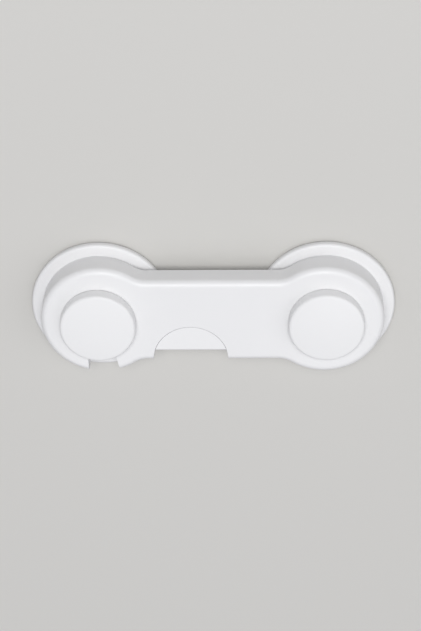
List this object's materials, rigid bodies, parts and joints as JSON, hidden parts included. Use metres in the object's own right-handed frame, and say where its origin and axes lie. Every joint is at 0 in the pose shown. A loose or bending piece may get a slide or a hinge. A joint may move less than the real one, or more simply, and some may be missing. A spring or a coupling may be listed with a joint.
{
  "type": "cabinet safety lock",
  "caption": "White stick-on lock for a pair of cabinet doors: round adhesive bases, a swinging dog-bone arm that hooks over a capped stud, and a half-moon press tab that frees it.",
  "frame": {"origin": "on the door's plane, midway between the two bases", "axes": "+X from the catch to the pivot, +Y up the door, +Z out of the door"},
  "size_m": [0.116, 0.044, 0.0184],
  "materials": {
    "base_plastic": "satin white",
    "cap_plastic": "satin white",
    "arm_plastic": "satin white",
    "lever_plastic": "satin white",
    "washer_nylon": "natural nylon",
    "adhesive_foam": "closed-cell foam tape",
    "screw_steel": "zinc plated",
    "spring_steel": "drawn wire"
  },
  "bodies": {
    "bases": {"catch_base": "base_plastic", "catch_pad": "adhesive_foam", "catch_stud": "base_plastic", "catch_screw": "screw_steel", "catch_cap": "cap_plastic", "pivot_base": "base_plastic", "pivot_pad": "adhesive_foam", "pivot_retainer": "base_plastic", "pivot_screw": "screw_steel", "pivot_cap": "cap_plastic", "pivot_washer": "washer_nylon"},
    "arm": {"arm_shell": "arm_plastic", "arm_back_cover": "arm_plastic", "cover_screws": "screw_steel", "lever_pin": "screw_steel", "lever_spring": "spring_steel"},
    "release_lever": {"release_lever": "lever_plastic"}
  },
  "joints": [
    {"name": "arm_swing", "type": "hinge", "parent": "bases", "child": "arm", "pos_m": [0.036, 0, 0.009], "axis": [0, 0, -1], "range_deg": [0, 330]},
    {"name": "tab_press", "type": "hinge", "parent": "arm", "child": "release_lever", "pos_m": [-0.007, 0.0085, 0.0093], "axis": [1, 0, 0], "range_deg": [0, 9], "stiffness_Nm_per_rad": 0.12, "springref_deg": -8.59, "deforming": ["lever_spring"]}
  ]
}
